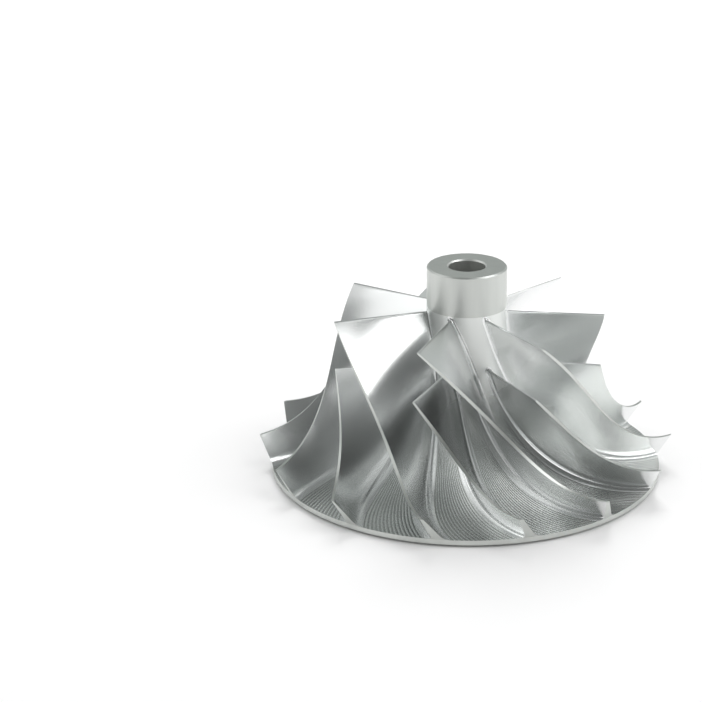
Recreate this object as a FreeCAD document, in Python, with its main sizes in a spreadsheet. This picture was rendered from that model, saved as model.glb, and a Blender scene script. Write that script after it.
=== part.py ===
"""Compressor wheel of a turbocharger, milled from one billet: hub, back disc, 7 blades and 7 splitters.

Frame: Z is the axis of rotation, z = 0 is the face of the back boss, and the nose points up.
A blade angle is measured round Z from the -Y direction, positive towards +X.
"""
import FreeCAD, Part
import Sketcher
import math
import os
import re

DOC = FreeCAD.newDocument("compressor_wheel")
AXIS = FreeCAD.Vector(0, 0, 1)
CENTRE = FreeCAD.Vector(0, 0, 0)
BASE_LINE = "0"            # height of a section's point that lies on the base plane
RIM_TOP = "boss_height + rim_thickness"
HANDLE_MARK = 1.0          # radius of the construction circle that marks a curve handle

SIZES = [
    ("bore_radius", 3.97),
    ("bore_chamfer", 0.3),
    ("nose_radius", 8.6),
    ("nose_chamfer", 0.3),
    ("wheel_height", 46.2),
    ("disc_radius", 42.5),
    ("boss_radius", 11.0),
    ("boss_height", 0.4),
    ("rim_thickness", 1.2),
    ("rim_chamfer", 0.2),
    # hub contour: height where it leaves the nose, and the reach of its two curve handles
    ("lead_height", 36.6),
    ("hub_axial_reach", 19.0),
    ("hub_radial_reach", 25.2),
    # shroud contour: blade tips at the inlet and at the outlet, and the reach of its handles
    ("inducer_radius", 29.6),
    ("exducer_radius", 45.2),
    ("exducer_height", 7.0),
    ("shroud_axial_reach", 18.3),
    ("shroud_waist", 2.8),
    ("shroud_radial_reach", 11.0),
    # blades
    ("blade_count", 7),
    ("blade_phase", -22.9),
    ("splitter_height", 25.5),
    ("root_thickness", 1.5),
    ("tip_thickness", 0.7),
    ("lead_thickness", 0.45),
    ("lead_taper", 0.18),
    ("fillet_height", 1.5),
    ("fillet_width", 2.2),
    ("foot_depth", 0.6),
    ("blank_headroom", 1.2),
    # wrap angle of a blade's root and tip along their length, as curve handles in degrees
    ("root_wrap_early", 57.4),
    ("root_wrap_late", 44.9),
    ("root_wrap_end", 67.1),
    ("tip_wrap_start", 3.2),
    ("tip_wrap_early", 46.2),
    ("tip_wrap_late", 52.4),
    ("tip_wrap_end", 63.4),
]

# A blade is made a little longer than it ends up, so that turning the blank trims it.
TIP_ALLOWANCE = 0.8        # past the shroud contour
OUTLET_ALLOWANCE = 0.07    # past the outlet edge, as a share of the blade's length
FILLET_LEAD_SHARE = 0.5    # fillet width at the leading edge, as a share of the full width
FINE_STEP = 1.0e-4         # share of the length, for slopes and for finding a height
LENGTH_STEPS = 8
TRAVELS = [number / LENGTH_STEPS for number in range(LENGTH_STEPS + 1)]


def make_sheet():
    """Spreadsheet that holds every driving size under its alias."""
    sheet = DOC.addObject("Spreadsheet::Sheet", "Sizes")
    for row, (alias, value) in enumerate(SIZES, start=1):
        sheet.set("A%d" % row, alias)
        sheet.set("B%d" % row, str(value))
        sheet.setAlias("B%d" % row, alias)
    DOC.recompute()
    return sheet


SHEET = make_sheet()


def size(alias):
    """Current value of one driving size."""
    return float(getattr(SHEET, alias))


def bound(text):
    """Expression in which every alias is read from the spreadsheet."""
    return re.sub(r"[a-z_]+", r"Sizes.\g<0>", text)


# ---------------------------------------------------------------- turned bodies

def section_point(pair):
    """Sketch point at a (radius, height) pair of expressions."""
    radius, height = [float(SHEET.evalExpression(bound(text))) for text in pair]
    return FreeCAD.Vector(radius, height, 0)


def fix_point(sketch, geometry, vertex, name, pair):
    """Hold one point of a sketch at a (radius, height) pair of expressions."""
    point = section_point(pair)
    for axis, value, text in (("X", point.x, pair[0]), ("Y", point.y, pair[1])):
        if text == BASE_LINE:
            sketch.addConstraint(Sketcher.Constraint("PointOnObject", geometry, vertex, -1))
            continue
        number = sketch.addConstraint(
            Sketcher.Constraint("Distance" + axis, -1, 1, geometry, vertex, value))
        sketch.renameConstraint(number, name + axis)
        sketch.setExpression("Constraints." + name + axis, bound(text))


def turned_body(name, corners, curve_side, handles):
    """Body turned about Z from a half section in the XZ plane.

    The side that starts at corner number curve_side is a cubic curve with two handles, and the
    other sides are straight.
    """
    body = DOC.addObject("PartDesign::Body", name)
    plane = [item for item in body.Origin.OriginFeatures if item.Role == "XZ_Plane"][0]
    sketch = body.newObject("Sketcher::SketchObject", name + "_section")
    sketch.AttachmentSupport = [(plane, "")]
    sketch.MapMode = "FlatFace"
    points = [section_point(corner) for corner in corners]
    handle_points = [section_point(handle) for handle in handles]
    count = len(corners)
    for index in range(count):
        first, last = points[index], points[(index + 1) % count]
        if index == curve_side:
            curve = Part.BSplineCurve()
            poles = [first] + handle_points + [last]
            curve.buildFromPolesMultsKnots(poles, [4, 4], [0.0, 1.0], False, 3)
            sketch.addGeometry(curve, False)
        else:
            sketch.addGeometry(Part.LineSegment(first, last), False)
    for index in range(count):
        sketch.addConstraint(
            Sketcher.Constraint("Coincident", index, 2, (index + 1) % count, 1))
        fix_point(sketch, index, 1, "corner%d" % index, corners[index])
    for index, point in enumerate(handle_points):
        circle = sketch.addGeometry(Part.Circle(point, AXIS, HANDLE_MARK), True)
        sketch.addConstraint(Sketcher.Constraint(
            "InternalAlignment:Sketcher::BSplineControlPoint", circle, 3, curve_side, index + 1))
        fix_point(sketch, circle, 3, "handle%d" % index, handles[index])
    turned = body.newObject("PartDesign::Revolution", name + "_turned")
    turned.Profile = sketch
    turned.ReferenceAxis = (sketch, ["V_Axis"])
    turned.Angle = 360.0
    body.Tip = turned
    DOC.recompute()
    return body


def make_hub():
    """Nose, hub, back disc and boss with the shaft bore through them."""
    corners = [
        ("bore_radius", "bore_chamfer"),
        ("bore_radius + bore_chamfer", BASE_LINE),
        ("boss_radius", BASE_LINE),
        ("boss_radius", "boss_height"),
        ("disc_radius - rim_chamfer", "boss_height"),
        ("disc_radius", "boss_height + rim_chamfer"),
        ("disc_radius", RIM_TOP),
        ("nose_radius", "lead_height"),
        ("nose_radius", "wheel_height - nose_chamfer"),
        ("nose_radius - nose_chamfer", "wheel_height"),
        ("bore_radius + bore_chamfer", "wheel_height"),
        ("bore_radius", "wheel_height - bore_chamfer"),
    ]
    handles = [
        ("disc_radius - hub_radial_reach", RIM_TOP),
        ("nose_radius", "lead_height - hub_axial_reach"),
    ]
    return turned_body("hub", corners, 6, handles)


def make_blank():
    """Turned blank that bounds the blades: shroud contour, outlet cone and disc rim."""
    above = "lead_height + blank_headroom"
    corners = [
        ("bore_radius", "boss_height"),
        ("disc_radius", "boss_height"),
        ("disc_radius", RIM_TOP),
        ("exducer_radius", "exducer_height"),
        ("inducer_radius", "lead_height"),
        ("inducer_radius", above),
        ("bore_radius", above),
    ]
    handles = [
        ("exducer_radius - shroud_radial_reach", "exducer_height"),
        ("inducer_radius - shroud_waist", "lead_height - shroud_axial_reach"),
    ]
    return turned_body("blank", corners, 3, handles)


# ---------------------------------------------------------------- blades

def cubic(share, start, early, late, end):
    """Value of a cubic curve with two handles."""
    rest = 1.0 - share
    return (rest**3 * start + 3 * rest**2 * share * early
            + 3 * rest * share**2 * late + share**3 * end)


def wheel_point(radius, height, degrees):
    angle = math.radians(degrees)
    return FreeCAD.Vector(radius * math.sin(angle), -radius * math.cos(angle), height)


def root_height(share):
    top = size("lead_height")
    low = size("boss_height") + size("rim_thickness")
    return cubic(share, top, top - size("hub_axial_reach"), low, low)


def tip_height(share):
    top = size("lead_height")
    low = size("exducer_height")
    return cubic(share, top, top - size("shroud_axial_reach"), low, low)


def root_point(share):
    """Point of a blade's middle surface on the hub contour."""
    inner, outer = size("nose_radius"), size("disc_radius")
    radius = cubic(share, inner, inner, outer - size("hub_radial_reach"), outer)
    degrees = cubic(share, 0.0, size("root_wrap_early"), size("root_wrap_late"),
                    size("root_wrap_end"))
    return wheel_point(radius, root_height(share), degrees)


def tip_point(share):
    """Point of a blade's middle surface on the shroud contour."""
    inlet, outlet = size("inducer_radius"), size("exducer_radius")
    radius = cubic(share, inlet, inlet - size("shroud_waist"),
                   outlet - size("shroud_radial_reach"), outlet)
    degrees = cubic(share, size("tip_wrap_start"), size("tip_wrap_early"),
                    size("tip_wrap_late"), size("tip_wrap_end"))
    return wheel_point(radius, tip_height(share), degrees)


def share_at(height_of, height):
    """Share of the length at which a falling contour reaches a height."""
    low, high = 0.0, 1.0
    while high - low > FINE_STEP:
        middle = (low + high) / 2
        if height_of(middle) > height:
            low = middle
        else:
            high = middle
    return (low + high) / 2


def middle_point(share, distance):
    """Point of the middle surface a distance out from the hub along its straight ruling."""
    root = root_point(share)
    ruling = tip_point(share) - root
    return root + ruling * (distance / ruling.Length)


def unit(vector):
    return vector * (1.0 / vector.Length)


def thickening(travel):
    """Rises smoothly from 0 at the leading edge to 1 where the blade has its full thickness."""
    ramp = min(1.0, travel / size("lead_taper"))
    return ramp * (2.0 - ramp)


def half_thickness(out, ramp):
    """Half of a blade's thickness at a share of its span from root to tip."""
    full = size("root_thickness") + (size("tip_thickness") - size("root_thickness")) * out
    return (size("lead_thickness") + (full - size("lead_thickness")) * ramp) / 2


def flank_point(side, share, distance, span, ramp):
    """Point on a milled flank: off the middle surface by half the thickness."""
    point = middle_point(share, distance)
    ahead = middle_point(share + FINE_STEP, distance) - point
    across = unit((tip_point(share) - root_point(share)).cross(ahead))
    return point + across * (side * half_thickness(distance / span, ramp))


def fillet_foot(side, share, ramp):
    """Foot of the root fillet, sunk just under the hub's surface."""
    point = root_point(share)
    ahead = root_point(share + FINE_STEP) - point
    radial = math.hypot(point.x, point.y)
    run = math.hypot(point.x + ahead.x, point.y + ahead.y) - radial
    normal = unit(FreeCAD.Vector(-ahead.z * point.x / radial, -ahead.z * point.y / radial, run))
    across = unit(normal.cross(ahead))
    width = size("fillet_width") * (FILLET_LEAD_SHARE + (1.0 - FILLET_LEAD_SHARE) * ramp)
    reach = half_thickness(0.0, ramp) + width
    return point + across * (side * reach) - normal * size("foot_depth")


def side_lines(side, root_start, tip_start):
    """The three lines that shape one side of a blade: fillet foot, fillet top and tip."""
    end = 1.0 + OUTLET_ALLOWANCE
    rise = size("fillet_height")
    lines = [[], [], []]
    for travel in TRAVELS:
        ramp = thickening(travel)
        root_share = root_start + (end - root_start) * travel
        tip_share = tip_start + (end - tip_start) * travel
        span = (tip_point(tip_share) - root_point(tip_share)).Length
        rise_share = root_share + (tip_share - root_share) * rise / span
        lines[0].append(fillet_foot(side, root_share, ramp))
        lines[1].append(flank_point(side, rise_share, rise, span, ramp))
        lines[2].append(flank_point(side, tip_share, span + TIP_ALLOWANCE, span, ramp))
    return lines


def ruled_surface(first, last):
    """Surface of straight lines between two curves that have the same knots."""
    pole_pairs = [list(pair) for pair in zip(first.getPoles(), last.getPoles())]
    surface = Part.BSplineSurface()
    surface.buildFromPolesMultsKnots(
        pole_pairs, first.getMultiplicities(), [2, 2], first.getKnots(), [0.0, 1.0],
        False, False, first.Degree, 1)
    return surface


def swept_face(first_line, last_line):
    """Face milled by a straight cutter edge that runs along two smooth lines."""
    curves = []
    for line in (first_line, last_line):
        curve = Part.BSplineCurve()
        curve.interpolate(Points=line, Parameters=TRAVELS)
        curves.append(curve)
    return ruled_surface(*curves)


def closing_face(left, right, along_blade, position):
    """Straight face that joins one edge of the left side to the same edge of the right side."""
    if along_blade:
        return ruled_surface(left.vIso(position), right.vIso(position))
    return ruled_surface(left.uIso(position), right.uIso(position))


def blade_solid(start_height):
    """Blade stock between its two sides, from the edge at start_height to past the rim."""
    starts = [share_at(root_height, start_height), share_at(tip_height, start_height)]
    left = side_lines(-1.0, *starts)
    right = side_lines(1.0, *starts)
    fillets = [swept_face(*left[:2]), swept_face(*right[:2])]
    flanks = [swept_face(*left[1:]), swept_face(*right[1:])]
    surfaces = fillets + flanks
    for pair in (fillets, flanks):
        surfaces.append(closing_face(*pair, False, 0.0))
        surfaces.append(closing_face(*pair, False, 1.0))
    surfaces.append(closing_face(*fillets, True, 0.0))
    surfaces.append(closing_face(*flanks, True, 1.0))
    shell = Part.makeShell([surface.toShape() for surface in surfaces])
    shell.sewShape()
    solid = Part.makeSolid(shell)
    if solid.Volume < 0:
        solid.reverse()
    return solid


def trimmed_blade(name, start_height, blank):
    """Blade stock cut to the turned blank."""
    stock = DOC.addObject("Part::Feature", name + "_stock")
    stock.Shape = blade_solid(start_height)
    trimmed = DOC.addObject("Part::Common", name)
    trimmed.Base = stock
    trimmed.Tool = blank
    DOC.recompute()
    return trimmed


def ring_of(source, first_degrees):
    """Copies of a blade at even steps round the axis."""
    count = int(size("blade_count"))
    copies = []
    for number in range(count):
        copy = DOC.addObject("Part::Feature", "%s_%d" % (source.Name, number + 1))
        copy.Shape = source.Shape.copy()
        turn = first_degrees + 360.0 * number / count
        copy.Placement = FreeCAD.Placement(CENTRE, FreeCAD.Rotation(AXIS, turn))
        copies.append(copy)
    return copies


def make_wheel():
    """The whole wheel as one solid."""
    hub = make_hub()
    blank = make_blank()
    blade = trimmed_blade("blade", size("lead_height"), blank)
    splitter = trimmed_blade("splitter", size("splitter_height"), blank)
    phase = size("blade_phase")
    half_pitch = 180.0 / size("blade_count")
    blades = ring_of(blade, phase) + ring_of(splitter, phase + half_pitch)
    wheel = DOC.addObject("Part::MultiFuse", "wheel")
    wheel.Shapes = [hub] + blades
    wheel.Label = "wheel"
    return wheel


def check_and_export(parts):
    """Stop on any failed object, then write one STEP file for each part."""
    DOC.recompute()
    for item in DOC.Objects:
        if "Invalid" in item.State or "Error" in item.State:
            raise RuntimeError(item.Name + " failed")
    os.makedirs("parts", exist_ok=True)
    for part in parts:
        shape = part.Shape
        if shape.isNull() or not shape.isValid():
            raise RuntimeError(part.Label + " has no valid shape")
        shape.exportStep("parts/%s.step" % part.Label)
        print(part.Label, len(shape.Solids), "solid", round(shape.Volume, 1), "mm3", shape.BoundBox)


check_and_export([make_wheel()])
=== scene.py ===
"""Compressor wheel, dressed: the milled wheel as one closed mesh, with finishes and a studio.

Lengths in the profile formulas are millimetres in the frame of the CAD, with Z as the axis.
A blade angle is measured round Z from the -Y direction, positive towards +X.
"""
import math

import bpy
import numpy as np
from mathutils import Matrix, Vector


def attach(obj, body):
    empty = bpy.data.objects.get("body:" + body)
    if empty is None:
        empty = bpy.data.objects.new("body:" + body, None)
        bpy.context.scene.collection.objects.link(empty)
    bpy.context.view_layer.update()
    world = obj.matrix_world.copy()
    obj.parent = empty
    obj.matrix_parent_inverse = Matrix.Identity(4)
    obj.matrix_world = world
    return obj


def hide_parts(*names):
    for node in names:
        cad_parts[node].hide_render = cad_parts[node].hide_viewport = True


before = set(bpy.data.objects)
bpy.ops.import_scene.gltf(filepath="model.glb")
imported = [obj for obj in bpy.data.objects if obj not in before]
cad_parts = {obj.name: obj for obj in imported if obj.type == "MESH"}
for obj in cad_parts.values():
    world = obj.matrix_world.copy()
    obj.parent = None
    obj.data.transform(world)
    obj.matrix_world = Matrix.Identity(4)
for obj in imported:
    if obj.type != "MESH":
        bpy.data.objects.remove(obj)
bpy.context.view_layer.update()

MM = 0.001

# ---------------------------------------------------------------- sizes

BORE_RADIUS = 3.97
BORE_CHAMFER = 0.3
NOSE_RADIUS = 8.6
NOSE_CHAMFER = 0.3
WHEEL_HEIGHT = 46.2
DISC_RADIUS = 42.5
BOSS_RADIUS = 11.0
BOSS_HEIGHT = 0.4
RIM_TOP = 1.6
RIM_CHAMFER = 0.2
LEAD_HEIGHT = 36.6
EXDUCER_RADIUS = 45.2
EXDUCER_HEIGHT = 7.0

HUB_CONTOUR = ((NOSE_RADIUS, LEAD_HEIGHT), (NOSE_RADIUS, 17.6), (17.3, RIM_TOP),
               (DISC_RADIUS, RIM_TOP))
SHROUD_CONTOUR = ((29.6, LEAD_HEIGHT), (26.8, 18.3), (34.2, EXDUCER_HEIGHT),
                  (EXDUCER_RADIUS, EXDUCER_HEIGHT))
ROOT_WRAP = (0.0, 57.4, 44.9, 67.1)
TIP_WRAP = (3.2, 46.2, 52.4, 63.4)
BLADE_COUNT = 7
BLADE_PHASE = -22.9
SPLITTER_HEIGHT = 25.5

ROOT_THICKNESS = 1.5
TIP_THICKNESS = 0.65
LEAD_THICKNESS = 0.42
LEAD_TAPER = 0.18          # share of the length over which a blade thickens
LEAD_ROUNDING = 0.007      # length of the rounded leading edge, as a share of the blade
FILLET_INLET = 0.55        # root fillet at the leading edge
FILLET_OUTLET = 1.6        # and where it has grown to its full size
FOOT_LEAD = 0.7            # how far the root fillet runs ahead of the leading edge
FILLET_GROWTH = 0.75       # share of the length over which it grows
FOOT_ROUNDING = 0.020      # length of the rounded front of the fillet, as a share of the blade

# How finely the mesh is laid out.
PASSAGE_COLUMNS = 14       # quads between a blade and the splitter beside it
FOOT_ROWS = 7              # rows of quads over the rounded front of a foot
LEAD_ROWS = 14             # rows of points between a full blade's foot and a splitter's
OUTLET_ROWS = 45           # rows of quads from a splitter's foot to the rim
FILLET_LEVELS = 7
FLANK_LEVELS = 12
BORE_STEPS = 24
BACK_RING = 30.0           # radius at which the flat back has a ring of points
BOSS_RING = BOSS_RADIUS + 6.0
SMOOTH_ANGLE = 32          # degrees; sharper edges stay sharp

# How finely curves are measured.
SHARE_STEP = 1e-4
CONTOUR_SAMPLES = 4001
SHROUD_SAMPLES = 6001
OUTLET_SHARES = (0.9, 1.12)    # between these shares every flank meets the outlet cone
HALVINGS = 40
LEAST_SQUARE = 1e-9            # keeps a root above zero


def cubic(share, handles):
    """Cubic curve with two handles; it runs straight on beyond its ends."""
    start, early, late, end = handles
    held = np.clip(share, 0.0, 1.0)
    rest = 1.0 - held
    value = (rest**3 * start + 3 * rest**2 * held * early
             + 3 * rest * held**2 * late + held**3 * end)
    past = share - held
    slope = np.where(past < 0, 3 * (early - start), 3 * (end - late))
    return value + past * slope


def contour(share, handles):
    """Radius and height on a contour."""
    return (cubic(share, [h[0] for h in handles]), cubic(share, [h[1] for h in handles]))


def to_xyz(radius, height, angle):
    return np.stack([radius * np.sin(angle), -radius * np.cos(angle), height], axis=-1)


def to_polar(points, near):
    """Radius, height and angle of points, with the angle on the turn nearest to `near`."""
    angle = np.arctan2(points[..., 0], -points[..., 1])
    angle = angle + 2 * math.pi * np.round((near - angle) / (2 * math.pi))
    return np.hypot(points[..., 0], points[..., 1]), points[..., 2], angle


def root_angle(share):
    return np.radians(cubic(share, ROOT_WRAP))


def tip_angle(share):
    return np.radians(cubic(share, TIP_WRAP))


def root_point(share):
    return to_xyz(*contour(share, HUB_CONTOUR), root_angle(share))


def tip_point(share):
    return to_xyz(*contour(share, SHROUD_CONTOUR), tip_angle(share))


def share_at(handles, height):
    """Share at which a falling contour reaches a height."""
    shares = np.linspace(0.0, 1.0, CONTOUR_SAMPLES)
    heights = contour(shares, handles)[1]
    return float(np.interp(-height, -heights, shares))


def unit(vectors):
    return vectors / np.linalg.norm(vectors, axis=-1, keepdims=True)


# ---------------------------------------------------------------- rows along the hub

def front_rows(start, rounding):
    """Rows bunched towards the front of a foot, so that its rounding is smooth."""
    return [start + rounding * (1 - math.cos(math.pi / 2 * row / FOOT_ROWS))
            for row in range(FOOT_ROWS + 1)]


# Height that the hub contour would fall over a full share, at its speed at the nose.
HUB_SPEED = 3 * (LEAD_HEIGHT - HUB_CONTOUR[1][1])
FULL_START = -FOOT_LEAD / HUB_SPEED
SPLIT_ROOT = share_at(HUB_CONTOUR, SPLITTER_HEIGHT)
SPLIT_TIP = share_at(SHROUD_CONTOUR, SPLITTER_HEIGHT)
SPLIT_START = SPLIT_ROOT - FOOT_LEAD / HUB_SPEED


def make_rows():
    """Hub shares of all rows of points, and the row at which the splitters start."""
    rows = front_rows(FULL_START, FOOT_ROUNDING)
    rows += list(np.linspace(rows[-1], SPLIT_START, LEAD_ROWS + 2)[1:-1])
    splitter_row = len(rows)
    rows += front_rows(SPLIT_START, FOOT_ROUNDING)
    rows += list(np.linspace(rows[-1], 1.0, OUTLET_ROWS + 1)[1:])
    return np.array(rows), splitter_row


ROWS, SPLIT_ROW = make_rows()
ROW_COUNT = len(ROWS)


# ---------------------------------------------------------------- blade loops

def rounded(travel, rounding):
    """Rises from 0 to 1 as a quarter ellipse over the rounding."""
    x = np.clip(travel / rounding, 0.0, 1.0)
    return np.sqrt(np.maximum(0.0, 1 - (1 - x)**2))


def thickening(travel):
    """Rises from 0 at the leading edge to 1, and levels out there."""
    ramp = np.minimum(1.0, travel / LEAD_TAPER)
    return ramp * (2 - ramp)


def half_thickness(travel, out):
    full = ROOT_THICKNESS + (TIP_THICKNESS - ROOT_THICKNESS) * out
    return (LEAD_THICKNESS + (full - LEAD_THICKNESS) * thickening(travel)) / 2


def fillet_size(travel):
    """Fillet's reach along the hub and rise up the flank, which grow towards the outlet."""
    grown = np.clip(travel / FILLET_GROWTH, 0.0, 1.0)
    return FILLET_INLET + (FILLET_OUTLET - FILLET_INLET) * grown * grown * (3 - 2 * grown)


def hub_offset(share, reach):
    """Angle round the axis that is `reach` away from the root line, measured across it."""
    before, after = share - SHARE_STEP, share + SHARE_STEP
    radius = contour(share, HUB_CONTOUR)[0]
    around = np.abs(root_angle(after) - root_angle(before)) * radius
    length = np.linalg.norm(root_point(after) - root_point(before), axis=-1)
    across = np.sqrt(np.maximum(LEAST_SQUARE, 1 - (around / length)**2))
    return reach / (radius * across)


def side_points(side, share, out, travel):
    """Points of one flank, `out` of the way along the ruling from root to tip."""
    root, tip = root_point(share), tip_point(share)
    middle = root + (tip - root) * out[..., None]
    later_root = root_point(share + SHARE_STEP)
    later = later_root + (tip_point(share + SHARE_STEP) - later_root) * out[..., None]
    normal = unit(np.cross(tip - root, later - middle))
    half = half_thickness(travel, out) * rounded(travel, LEAD_ROUNDING)
    return middle + normal * (side * half)[..., None]


def cone_radius(height):
    """Radius of the outlet cone, from the rim's top edge to the blade tips."""
    slope = (EXDUCER_RADIUS - DISC_RADIUS) / (EXDUCER_HEIGHT - RIM_TOP)
    return DISC_RADIUS + (height - RIM_TOP) * slope


def flank_line(side, travel, starts, out_of):
    """Line on a flank from the leading edge to the outlet cone."""
    root_start, tip_start = starts
    low, high = OUTLET_SHARES

    def line(end):
        root_share = root_start + (end - root_start) * travel
        tip_share = tip_start + (end - tip_start) * travel
        out = out_of(tip_share)
        share = root_share + (tip_share - root_share) * out
        return side_points(side, share, out, travel)

    for _ in range(HALVINGS):
        end = (low + high) / 2
        last = line(end)[-1]
        if math.hypot(last[0], last[1]) < cone_radius(last[2]):
            low = end
        else:
            high = end
    return line((low + high) / 2)


def onto_shroud(radius, height):
    """The nearest point of the shroud contour for each radius and height."""
    shares = np.linspace(0.0, 1.0, SHROUD_SAMPLES)
    shroud = np.stack(contour(shares, SHROUD_CONTOUR), axis=-1)
    points = np.stack([radius, height], axis=-1)
    nearest = [int(np.argmin(((shroud - point)**2).sum(1))) for point in points]
    return shroud[nearest, 0], shroud[nearest, 1]


def blade_levels(side, rows, start, starts):
    """Polar points of one side, level by level from the foot on the hub to the tip."""
    travel = (rows - start) / (1.0 - start)
    reach = half_thickness(travel, 0.0) + fillet_size(travel)
    foot_radius, foot_height = contour(rows, HUB_CONTOUR)
    foot = (foot_radius, foot_height,
            root_angle(rows) + side * hub_offset(rows, reach) * rounded(travel, FOOT_ROUNDING))

    corner_rows = starts[0] + (1.0 - starts[0]) * travel
    corner_half = half_thickness(travel, 0.0) * rounded(travel, LEAD_ROUNDING)
    corner = (*contour(corner_rows, HUB_CONTOUR),
              root_angle(corner_rows) + side * hub_offset(corner_rows, corner_half))

    def rise_share(share):
        span = np.linalg.norm(tip_point(share) - root_point(share), axis=-1)
        return fillet_size(travel) / span

    near = root_angle(rows)
    rise = flank_line(side, travel, starts, rise_share)
    top = flank_line(side, travel, starts, lambda share: np.ones_like(share))
    tip_radius, tip_height, tip_turn = to_polar(top, near)
    tip_radius, tip_height = onto_shroud(tip_radius, tip_height)
    top = to_xyz(tip_radius, tip_height, tip_turn)
    rise_polar = to_polar(rise, near)

    levels = []
    for number in range(FILLET_LEVELS + 1):
        share = number / FILLET_LEVELS
        rest = 1 - share
        levels.append([rest**2 * a + 2 * rest * share * b + share**2 * c
                       for a, b, c in zip(foot, corner, rise_polar)])
    for number in range(1, FLANK_LEVELS + 1):
        share = number / FLANK_LEVELS
        levels.append(list(to_polar(rise + (top - rise) * share, near)))
    return np.array(levels).transpose(0, 2, 1)


# ---------------------------------------------------------------- one sector of the wheel

TURN = 2 * math.pi / BLADE_COUNT
HALF_TURN = TURN / 2
LEVELS = FILLET_LEVELS + FLANK_LEVELS + 1
FLOOR, BLADE, TURNED, BORE = range(4)
NO_FLOW = ((0.0, 0.0),) * 5    # a face has five corners at most


class Sector:
    """Points and faces of one seventh of the wheel; faces may use the next sector's points."""

    def __init__(self):
        self.points = []
        self.names = {}
        self.faces = []
        self.kinds = []
        self.flows = []

    def add(self, name, radius, height, angle):
        self.names[name] = len(self.points)
        self.points.append((radius, height, angle))

    def angle_of(self, name, step=0):
        return self.points[self.names[name]][2] + TURN * step

    def face(self, kind, *corners, flow=NO_FLOW):
        """Corners are (name, sector step) pairs; flow is how far across and along each is."""
        face, flows = [], []
        for (name, step), place in zip(corners, flow):
            item = (self.names[name], step)
            if item not in face:
                face.append(item)
                flows.append(place)
        if len(face) > 2:
            self.faces.append(face)
            self.kinds.append(kind)
            self.flows += flows


def column_name(row, column):
    """Name and sector step of a grid point on the hub; columns run over both passages."""
    block, place = divmod(column, PASSAGE_COLUMNS)
    if column == 2 * PASSAGE_COLUMNS:
        return foot_name("full", -1, row), 1
    if block == 0 and place == 0:
        return foot_name("full", 1, row), 0
    if block == 1 and place == 0:
        return foot_name("split", 1, row), 0
    return ("hub", row, column), 0


def foot_name(blade, side, row):
    """A blade's foot, or ahead of it the single line that runs on towards the nose."""
    first = 0 if blade == "full" else SPLIT_ROW
    if row <= first:
        return ("line", blade, row)
    return (blade, side, 0, row)


def left_end(row, column):
    """Like column_name, but for the last column of the first passage."""
    if column == PASSAGE_COLUMNS:
        return foot_name("split", -1, row), 0
    return column_name(row, column)


def add_blade(sector, blade, first, start, starts, turn):
    """All points of a blade, and the faces of its sides, its outlet edge and its tip."""
    rows = ROWS[first:]
    ends = {}
    for side in (-1, 1):
        levels = blade_levels(side, rows, start, starts)
        for level in range(LEVELS):
            for place in range(len(rows)):
                row = first + place
                if place == 0 and (side == 1 or level == 0):
                    continue
                radius, height, angle = levels[level][place]
                sector.add((blade, side, level, row), radius, height, angle + turn)
        ends[side] = levels[:, -1]
    sector.add(("line", blade, first), *contour(rows[0], HUB_CONTOUR),
               root_angle(rows[0]) + turn)
    for level in range(LEVELS):
        middle = (ends[-1][level] + ends[1][level]) / 2
        sector.add((blade, "outlet", level), middle[0], middle[1], middle[2] + turn)

    def name(side, level, row):
        """The two sides share their points at the leading edge."""
        if row != first:
            return (blade, side, level, row), 0
        if level == 0:
            return ("line", blade, first), 0
        return (blade, -1, level, first), 0

    last = ROW_COUNT - 1
    for level in range(LEVELS - 1):
        for row in range(first, last):
            sector.face(BLADE, name(-1, level, row), name(-1, level, row + 1),
                        name(-1, level + 1, row + 1), name(-1, level + 1, row))
            sector.face(BLADE, name(1, level, row + 1), name(1, level, row),
                        name(1, level + 1, row), name(1, level + 1, row + 1))
        outlet, above = ((blade, "outlet", level), 0), ((blade, "outlet", level + 1), 0)
        sector.face(TURNED, name(-1, level, last), outlet, above, name(-1, level + 1, last))
        sector.face(TURNED, outlet, name(1, level, last), name(1, level + 1, last), above)
    top = LEVELS - 1
    for row in range(first, last - 1):
        sector.face(TURNED, name(-1, top, row), name(-1, top, row + 1),
                    name(1, top, row + 1), name(1, top, row))
    sector.face(TURNED, name(-1, top, last - 1), name(-1, top, last),
                ((blade, "outlet", top), 0), name(1, top, last), name(1, top, last - 1))


def add_hub_floor(sector):
    """Hub surface of both passages, from the front of the blades' feet to the rim."""
    for row in range(ROW_COUNT):
        radius, height = contour(ROWS[row], HUB_CONTOUR)
        if row < SPLIT_ROW:
            sector.add(("line", "split", row), radius, height,
                       root_angle(ROWS[row]) + HALF_TURN)
        passages = ((column_name(row, 0), left_end(row, PASSAGE_COLUMNS)),
                    (column_name(row, PASSAGE_COLUMNS), column_name(row, 2 * PASSAGE_COLUMNS)))
        for number, (low, high) in enumerate(passages):
            first, last = sector.angle_of(*low), sector.angle_of(*high)
            for place in range(1, PASSAGE_COLUMNS):
                sector.add(("hub", row, number * PASSAGE_COLUMNS + place), radius, height,
                           first + (last - first) * (place / PASSAGE_COLUMNS))
    for row in range(ROW_COUNT - 1):
        here, below = ROWS[row], ROWS[row + 1]
        for column in range(2 * PASSAGE_COLUMNS):
            right_name = left_end if column == PASSAGE_COLUMNS - 1 else column_name
            left, right = column / PASSAGE_COLUMNS, (column + 1) / PASSAGE_COLUMNS
            sector.face(FLOOR, column_name(row, column), column_name(row + 1, column),
                        right_name(row + 1, column + 1), right_name(row, column + 1),
                        flow=((left, here), (left, below), (right, below), (right, here)))


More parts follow.
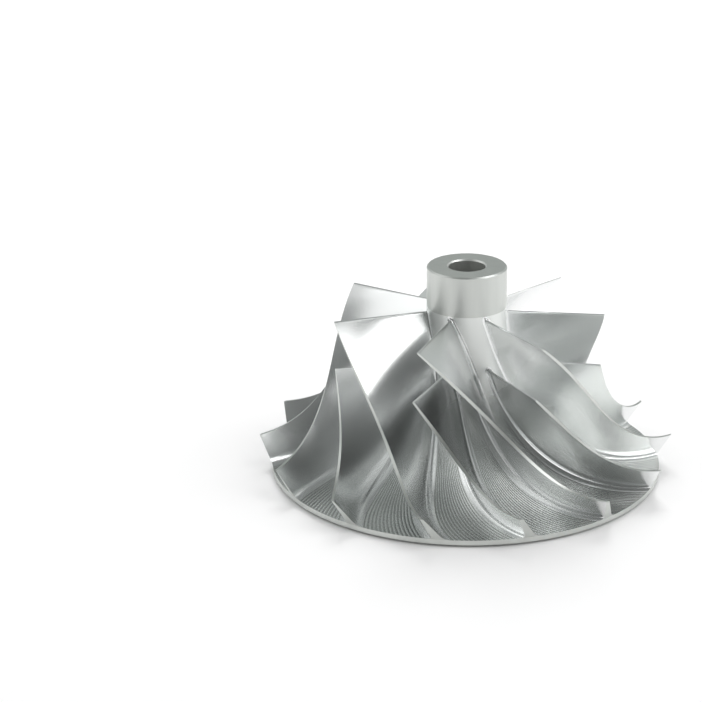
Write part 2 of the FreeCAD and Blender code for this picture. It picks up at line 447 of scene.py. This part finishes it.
def ring_columns(shape, number):
    """Names round a ring: one point at each blade on a "nose" ring, three on a "rim" ring."""
    names = []
    for blade, base in (("full", 0), ("split", PASSAGE_COLUMNS)):
        keys = [0] if shape == "nose" else [-1, 0, 1]
        names += [("ring", number, blade, key) for key in keys]
        names += [("ring", number, "gap", base + place) for place in range(1, PASSAGE_COLUMNS)]
    return names


def rim_names():
    """The hub floor's last row, with both sides and the outlet middle of each blade's foot."""
    last, names = ROW_COUNT - 1, []
    for blade, base in (("full", 0), ("split", PASSAGE_COLUMNS)):
        names += [(blade, -1, 0, last), (blade, "outlet", 0), (blade, 1, 0, last)]
        names += [("hub", last, base + place) for place in range(1, PASSAGE_COLUMNS)]
    return names


def nose_names():
    """The hub floor's first row."""
    names = []
    for blade, base in (("full", 0), ("split", PASSAGE_COLUMNS)):
        names.append(("line", blade, 0))
        names += [("hub", 0, base + place) for place in range(1, PASSAGE_COLUMNS)]
    return names


def add_ring(sector, shape, radius, height, angles):
    """Points of a new ring, numbered by the count of points so far."""
    names = ring_columns(shape, len(sector.points))
    for name, angle in zip(names, angles):
        sector.add(name, radius, height, angle)
    return names


def join_rings(sector, kind, upper, lower):
    """Quads between two rings with the same columns; upper comes first along the section."""
    pairs = [(name, 0) for name in upper] + [(upper[0], 1)]
    others = [(name, 0) for name in lower] + [(lower[0], 1)]
    for place in range(len(upper)):
        sector.face(kind, pairs[place], others[place], others[place + 1], pairs[place + 1])


def follow(sector, shape, ring, section, angles):
    """Adds a ring for each place of a section and joins it to the one before."""
    for radius, height, kind in section:
        added = add_ring(sector, shape, radius, height, angles)
        join_rings(sector, kind, ring, added)
        ring = added
    return ring


def add_turned(sector):
    """Rim, back, bore and nose, followed round the section from the rim to the nose."""
    outer, inner = rim_names(), nose_names()
    rim_angles = [sector.angle_of(name) for name in outer]
    nose_angles = [sector.angle_of(name) for name in inner]
    back_angles = [angle for name, angle in zip(ring_columns("rim", 0), rim_angles)
                   if name[2] == "gap" or name[3] == 0]
    ring = follow(sector, "rim", outer, (
        (DISC_RADIUS, BOSS_HEIGHT + RIM_CHAMFER, TURNED),
        (DISC_RADIUS - RIM_CHAMFER, BOSS_HEIGHT, TURNED),
        (BACK_RING, BOSS_HEIGHT, TURNED),
    ), rim_angles)
    boss_ring = add_ring(sector, "nose", BOSS_RING, BOSS_HEIGHT, back_angles)
    collapse(sector, ring, boss_ring)
    ring = follow(sector, "nose", boss_ring, (
        (BOSS_RADIUS, BOSS_HEIGHT, TURNED),
        (BOSS_RADIUS, 0.0, TURNED),
        (BORE_RADIUS + BORE_CHAMFER, 0.0, TURNED),
        (BORE_RADIUS, BORE_CHAMFER, BORE),
    ), back_angles)
    for step in range(1, BORE_STEPS + 1):
        share = step / BORE_STEPS
        height = BORE_CHAMFER + (WHEEL_HEIGHT - 2 * BORE_CHAMFER) * share
        angles = [back + (nose - back) * share for back, nose in zip(back_angles, nose_angles)]
        ring = follow(sector, "nose", ring, ((BORE_RADIUS, height, BORE),), angles)
    front = LEAD_HEIGHT + FOOT_LEAD
    ring = follow(sector, "nose", ring, (
        (BORE_RADIUS + BORE_CHAMFER, WHEEL_HEIGHT, BORE),
        (NOSE_RADIUS - NOSE_CHAMFER, WHEEL_HEIGHT, TURNED),
        (NOSE_RADIUS, WHEEL_HEIGHT - NOSE_CHAMFER, TURNED),
        (NOSE_RADIUS, (2 * WHEEL_HEIGHT + front) / 3, TURNED),
        (NOSE_RADIUS, (WHEEL_HEIGHT + 2 * front) / 3, TURNED),
    ), nose_angles)
    join_rings(sector, TURNED, ring, inner)


def collapse(sector, wide, narrow):
    """Joins a ring with three points at each blade to a ring with one."""
    steps = [(name, 0) for name in wide] + [(wide[0], 1)]
    targets = []
    for name in wide:
        key = (name[2], 0) if name[2] != "gap" else ("gap", name[3])
        targets.append(next(other for other in narrow if (other[2], other[3]) == key))
    goals = [(name, 0) for name in targets] + [(targets[0], 1)]
    for place in range(len(wide)):
        sector.face(TURNED, steps[place], goals[place], goals[place + 1], steps[place + 1])


def make_sector():
    sector = Sector()
    add_blade(sector, "full", 0, FULL_START, (0.0, 0.0), 0.0)
    add_blade(sector, "split", SPLIT_ROW, SPLIT_START, (SPLIT_ROOT, SPLIT_TIP), HALF_TURN)
    add_hub_floor(sector)
    add_turned(sector)
    return sector


# ---------------------------------------------------------------- the wheel's mesh

def make_wheel():
    """Seven sectors as one closed mesh: a lofted grid, for blades that twist and run into
    fillets that grow."""
    sector = make_sector()
    local = np.array(sector.points)
    count = len(local)
    vertices, faces, kinds = [], [], []
    for number in range(BLADE_COUNT):
        angle = local[:, 2] + math.radians(BLADE_PHASE) + TURN * number
        vertices.append(to_xyz(local[:, 0], local[:, 1], angle))
        for face, kind in zip(sector.faces, sector.kinds):
            faces.append([index + count * ((number + step) % BLADE_COUNT)
                          for index, step in face])
            kinds.append(kind)
    vertices = np.concatenate(vertices) * MM
    mesh = bpy.data.meshes.new("wheel_milled")
    mesh.from_pydata([tuple(point) for point in vertices], [], faces)
    layer = mesh.uv_layers.new(name="flow")
    flows = np.tile(np.array(sector.flows, float), (BLADE_COUNT, 1))
    layer.data.foreach_set("uv", flows.ravel())
    mesh.polygons.foreach_set("material_index", kinds)
    mesh.update()
    wheel = bpy.data.objects.new("wheel_milled", mesh)
    bpy.context.collection.objects.link(wheel)
    return wheel


def smooth(piece):
    """Turns every face outwards and shades the piece smooth up to its sharp edges."""
    bpy.ops.object.select_all(action="DESELECT")
    piece.select_set(True)
    bpy.context.view_layer.objects.active = piece
    bpy.ops.object.mode_set(mode="EDIT")
    bpy.ops.mesh.select_all(action="SELECT")
    bpy.ops.mesh.normals_make_consistent(inside=False)
    bpy.ops.object.mode_set(mode="OBJECT")
    bpy.ops.object.shade_smooth_by_angle(angle=math.radians(SMOOTH_ANGLE))


# ---------------------------------------------------------------- finishes

# Darkest and lightest colour of each finish.
# On the passages the colour runs towards the darkest where painted shade is laid on the
# cutter's crests; the mottle alone keeps it near the lightest.
PASSAGE_COLOURS = ((0.25, 0.26, 0.255), (0.88, 0.90, 0.88))
BLADE_COLOURS = ((0.85, 0.86, 0.86), (0.92, 0.93, 0.925))
TURNED_COLOURS = ((0.58, 0.60, 0.58), (0.72, 0.74, 0.71))
BORE_COLOURS = ((0.72, 0.73, 0.71), (0.84, 0.85, 0.83))
BLADE_ROUGHNESS = (0.19, 0.26)
TURNED_ROUGHNESS = (0.36, 0.44)
BORE_ROUGHNESS = (0.36, 0.46)
CUTTER_ROUGHNESS = 0.24
MOTTLE_SCALE = 60.0
PASSAGE_MOTTLE = (0.3, 0.85)   # how much the mottle adds on the passages, and to what
RIDGES = 14                    # cutter passes side by side between a blade and a splitter
# Painted shade: how much the colour is darkened on the crests that the cutter leaves, standing
# in for the dark lines that light draws along the cusps.
CREST_PAINTED_SHADE = 0.55             # how much darker the crests that the cutter leaves are
RIDGE_START = (0.28, 0.60)     # shares of the hub's length over which the ridges set in
CUTTER_START = (0.05, 0.40)    # and over which the turned nose gives way to the cutter's finish
# Scale and detail of the noise in the polish and the lathe marks.
POLISH_NOISE = (900.0, 4.0)
LATHE_NOISE = (5200.0, 2.0)
# Height in metres of what is raised, and the strength of the bump.
RIDGE_BUMP = (0.00009, 1.0)
POLISH_BUMP = (0.00001, 0.25)
LATHE_BUMP = (0.000012, 0.5)
STREAKS = (6.0, 6.0, 0.5)      # scale of the turned metal's mottle, drawn out along the axis


def smooth_step(tree, value, start, end, low, high):
    """Node that eases from low to high while a value goes from start to end."""
    step = tree.nodes.new("ShaderNodeMapRange")
    step.interpolation_type = "SMOOTHSTEP"
    for name, number in (("From Min", start), ("From Max", end), ("To Min", low),
                         ("To Max", high)):
        step.inputs[name].default_value = number
    tree.links.new(value, step.inputs["Value"])
    return step.outputs["Result"]


class Finish:
    """A metal finish built from nodes on object coordinates or the wheel's own UV map."""

    def __init__(self, name):
        self.material = bpy.data.materials.new(name)
        self.material.use_nodes = True
        self.tree = self.material.node_tree
        self.shader = self.tree.nodes["Principled BSDF"]
        self.shader.inputs["Metallic"].default_value = 1.0

    def node(self, kind, **inputs):
        """New node with its inputs linked or set; an underscore stands for a space."""
        node = self.tree.nodes.new(kind)
        for name, value in inputs.items():
            socket = node.inputs[name.replace("_", " ")]
            if isinstance(value, bpy.types.NodeSocket):
                self.tree.links.new(value, socket)
            else:
                socket.default_value = value
        return node

    def maths(self, operation, *values):
        node = self.tree.nodes.new("ShaderNodeMath")
        node.operation = operation
        for socket, value in zip(node.inputs, values):
            if isinstance(value, bpy.types.NodeSocket):
                self.tree.links.new(value, socket)
            else:
                socket.default_value = value
        return node.outputs[0]

    def noise(self, source, scale, detail=3.0):
        return self.node("ShaderNodeTexNoise", Vector=source, Scale=scale, Detail=detail)

    def object_place(self):
        return self.node("ShaderNodeTexCoord").outputs["Object"]

    def mottle(self, source, dark, light, roughness):
        """Colour and roughness that wander between two values with a slow noise."""
        value = self.noise(source, MOTTLE_SCALE).outputs["Fac"]
        self.colour_by(value, dark, light)
        spread = self.node("ShaderNodeMapRange", Value=value)
        spread.inputs["To Min"].default_value = roughness[0]
        spread.inputs["To Max"].default_value = roughness[1]
        self.roughen(spread.outputs["Result"])

    def roughen(self, value):
        self.tree.links.new(value, self.shader.inputs["Roughness"])

    def colour_by(self, value, dark, light):
        ramp = self.node("ShaderNodeValToRGB", Fac=value)
        ramp.color_ramp.elements[0].color = (*dark, 1.0)
        ramp.color_ramp.elements[1].color = (*light, 1.0)
        self.tree.links.new(ramp.outputs["Color"], self.shader.inputs["Base Color"])

    def raise_by(self, height, distance, strength):
        bump = self.node("ShaderNodeBump", Height=height, Distance=distance, Strength=strength)
        self.tree.links.new(bump.outputs["Normal"], self.shader.inputs["Normal"])


def floor_finish():
    """Hub surface with the fine cusps that a ball cutter leaves along each passage; painted
    shade darkens their crests.
    """
    finish = Finish("milled_passage")
    flow = finish.node("ShaderNodeUVMap")
    flow.uv_map = "flow"
    split = finish.node("ShaderNodeSeparateXYZ", Vector=flow.outputs["UV"])
    across, along = split.outputs["X"], split.outputs["Y"]
    phase = finish.maths("MULTIPLY", across, 2 * math.pi * RIDGES)
    wave = finish.maths("MULTIPLY_ADD", finish.maths("SINE", phase), 0.5, 0.5)
    ridge = finish.maths("MULTIPLY", wave,
                         smooth_step(finish.tree, along, *RIDGE_START, 0.0, 1.0))
    finish.raise_by(ridge, *RIDGE_BUMP)
    mottle = finish.noise(finish.object_place(), MOTTLE_SCALE).outputs["Fac"]
    # The colour follows the mottle, less the painted shade on the cutter's crests.
    shade = finish.maths("SUBTRACT", finish.maths("MULTIPLY_ADD", mottle, *PASSAGE_MOTTLE),
                         finish.maths("MULTIPLY", ridge, CREST_PAINTED_SHADE))
    finish.colour_by(shade, *PASSAGE_COLOURS)
    finish.roughen(smooth_step(finish.tree, along, *CUTTER_START, TURNED_ROUGHNESS[1],
                               CUTTER_ROUGHNESS))
    return finish.material


def blade_finish():
    """Polished flanks with a faint mottle."""
    finish = Finish("milled_blade")
    place = finish.object_place()
    finish.mottle(place, *BLADE_COLOURS, BLADE_ROUGHNESS)
    fine = finish.noise(place, *POLISH_NOISE).outputs["Fac"]
    finish.raise_by(fine, *POLISH_BUMP)
    return finish.material


def turned_finish(name, dark, light, roughness):
    """Lathe marks: rings round the axis, seen as fine bands in radius and height."""
    finish = Finish(name)
    place = finish.object_place()
    streaks = finish.node("ShaderNodeMapping", Vector=place, Scale=STREAKS)
    finish.mottle(streaks.outputs["Vector"], dark, light, roughness)
    split = finish.node("ShaderNodeSeparateXYZ", Vector=place)
    flat = finish.node("ShaderNodeCombineXYZ", X=split.outputs["X"], Y=split.outputs["Y"])
    length = finish.node("ShaderNodeVectorMath")
    length.operation = "LENGTH"
    finish.tree.links.new(flat.outputs["Vector"], length.inputs[0])
    rings = finish.node("ShaderNodeCombineXYZ", X=length.outputs["Value"], Z=split.outputs["Z"])
    bands = finish.noise(rings.outputs["Vector"], *LATHE_NOISE)
    finish.raise_by(bands.outputs["Fac"], *LATHE_BUMP)
    return finish.material


def dress(wheel):
    """Finishes in the order of FLOOR, BLADE, TURNED and BORE."""
    for material in (
            floor_finish(),
            blade_finish(),
            turned_finish("turned_outside", *TURNED_COLOURS, TURNED_ROUGHNESS),
            turned_finish("turned_bore", *BORE_COLOURS, BORE_ROUGHNESS)):
        wheel.data.materials.append(material)


# ---------------------------------------------------------------- studio

CAMERA_PLACE = (0.0, -0.435806, 0.191536)      # metres
CAMERA_YAW = 0.0573                             # radians, as are the other two angles
CAMERA_PITCH = 0.3618
CAMERA_ROLL = -0.0096
CAMERA_LENS = 109.98
NEAR_CLIP = 0.01
AIM = Vector((0.0, 0.0, 0.02))
PAPER_SIZE = 8.0
PAPER_COLOUR = (0.90, 0.90, 0.90, 1.0)
PAPER_ROUGHNESS = 0.9
FILL_STRENGTH = 0.56
FILL_COLOUR = (1.0, 1.0, 1.0, 1.0)
ROOM_COLOUR = (0.95, 1.0, 0.98, 1.0)
# Steps that multiply into the room's strength: axis of the view direction, where the
# step starts and ends on it, and the strength before and after.
ROOM_STEPS = (("Z", 0.35, 0.80, 0.55, 0.22), ("Z", 0.90, 1.0, 1.0, 1.9),
              ("Y", -0.95, -0.30, 0.20, 1.0))


def make_camera():
    """Camera placed by its yaw, downward pitch and roll."""
    camera = bpy.data.objects.new("camera", bpy.data.cameras.new("camera"))
    bpy.context.collection.objects.link(camera)
    camera.data.lens = CAMERA_LENS
    camera.data.clip_start = NEAR_CLIP
    ahead = Vector((-math.sin(CAMERA_YAW) * math.cos(CAMERA_PITCH),
                    math.cos(CAMERA_YAW) * math.cos(CAMERA_PITCH), -math.sin(CAMERA_PITCH)))
    level = ahead.cross(Vector((0, 0, 1))).normalized()
    upright = level.cross(ahead)
    right = level * math.cos(CAMERA_ROLL) + upright * math.sin(CAMERA_ROLL)
    up = upright * math.cos(CAMERA_ROLL) - level * math.sin(CAMERA_ROLL)
    turn = Matrix((right, up, -ahead)).transposed()
    camera.matrix_world = Matrix.Translation(CAMERA_PLACE) @ turn.to_4x4()
    bpy.context.scene.camera = camera


def add_light(name, azimuth, elevation, distance, size, power, in_reflections=True):
    """Softbox aimed at the wheel; azimuth is in degrees from the front (-Y) towards +X."""
    lamp = bpy.data.lights.new(name, "AREA")
    lamp.shape = "RECTANGLE"
    lamp.size, lamp.size_y = size
    lamp.energy = power
    holder = bpy.data.objects.new(name, lamp)
    bpy.context.collection.objects.link(holder)
    turn, rise = math.radians(azimuth), math.radians(elevation)
    away = Vector((math.sin(turn) * math.cos(rise), -math.cos(turn) * math.cos(rise),
                   math.sin(rise)))
    holder.location = AIM + away * distance
    holder.rotation_euler = (-away).to_track_quat("-Z", "Y").to_euler()
    holder.visible_glossy = in_reflections


def make_floor():
    """Pale paper that the wheel stands on."""
    bpy.ops.mesh.primitive_plane_add(size=PAPER_SIZE, location=(0, 0, 0))
    floor = bpy.context.object
    floor.name = "studio_floor"
    material = bpy.data.materials.new("studio_floor")
    material.use_nodes = True
    shader = material.node_tree.nodes["Principled BSDF"]
    shader.inputs["Base Color"].default_value = PAPER_COLOUR
    shader.inputs["Roughness"].default_value = PAPER_ROUGHNESS
    shader.inputs["Specular IOR Level"].default_value = 0.0
    floor.data.materials.append(material)


def make_world():
    """Dim room for what the metal reflects, and an even fill for everything else.

    The room is grey at eye level, darker overhead and darkest low down in front.
    """
    world = bpy.data.worlds.new("studio")
    bpy.context.scene.world = world
    world.use_nodes = True
    tree = world.node_tree
    tree.nodes.clear()
    output = tree.nodes.new("ShaderNodeOutputWorld")
    mix = tree.nodes.new("ShaderNodeMixShader")
    fill = tree.nodes.new("ShaderNodeBackground")
    room = tree.nodes.new("ShaderNodeBackground")
    path = tree.nodes.new("ShaderNodeLightPath")
    fill.inputs["Color"].default_value = FILL_COLOUR
    fill.inputs["Strength"].default_value = FILL_STRENGTH
    room.inputs["Color"].default_value = ROOM_COLOUR
    place = tree.nodes.new("ShaderNodeTexCoord")
    axes = tree.nodes.new("ShaderNodeSeparateXYZ")
    tree.links.new(place.outputs["Generated"], axes.inputs[0])
    steps = [smooth_step(tree, axes.outputs[axis], *step) for axis, *step in ROOM_STEPS]
    strength = steps[0]
    for step in steps[1:]:
        product = tree.nodes.new("ShaderNodeMath")
        product.operation = "MULTIPLY"
        tree.links.new(strength, product.inputs[0])
        tree.links.new(step, product.inputs[1])
        strength = product.outputs[0]
    tree.links.new(strength, room.inputs["Strength"])
    tree.links.new(path.outputs["Is Glossy Ray"], mix.inputs["Fac"])
    tree.links.new(fill.outputs[0], mix.inputs[1])
    tree.links.new(room.outputs[0], mix.inputs[2])
    tree.links.new(mix.outputs[0], output.inputs["Surface"])


def make_studio():
    make_camera()
    make_world()
    make_floor()
    add_light("right_softbox", 78, 43, 1.2, (1.0, 0.7), 4.2)
    add_light("high_softbox", 102, 61, 1.2, (0.4, 0.45), 1.1)
    add_light("left_softbox", 288, 40, 1.2, (0.7, 0.7), 1.4)
    add_light("left_rear_softbox", 250, 42, 1.2, (0.6, 0.8), 0.85)
    add_light("shadow_light", 180, 45, 1.0, (0.5, 0.5), 4.6, in_reflections=False)
    bpy.context.scene.view_settings.view_transform = "Standard"


wheel = make_wheel()
smooth(wheel)
dress(wheel)
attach(wheel, "root")
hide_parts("wheel")
make_studio()

bpy.context.view_layer.update()
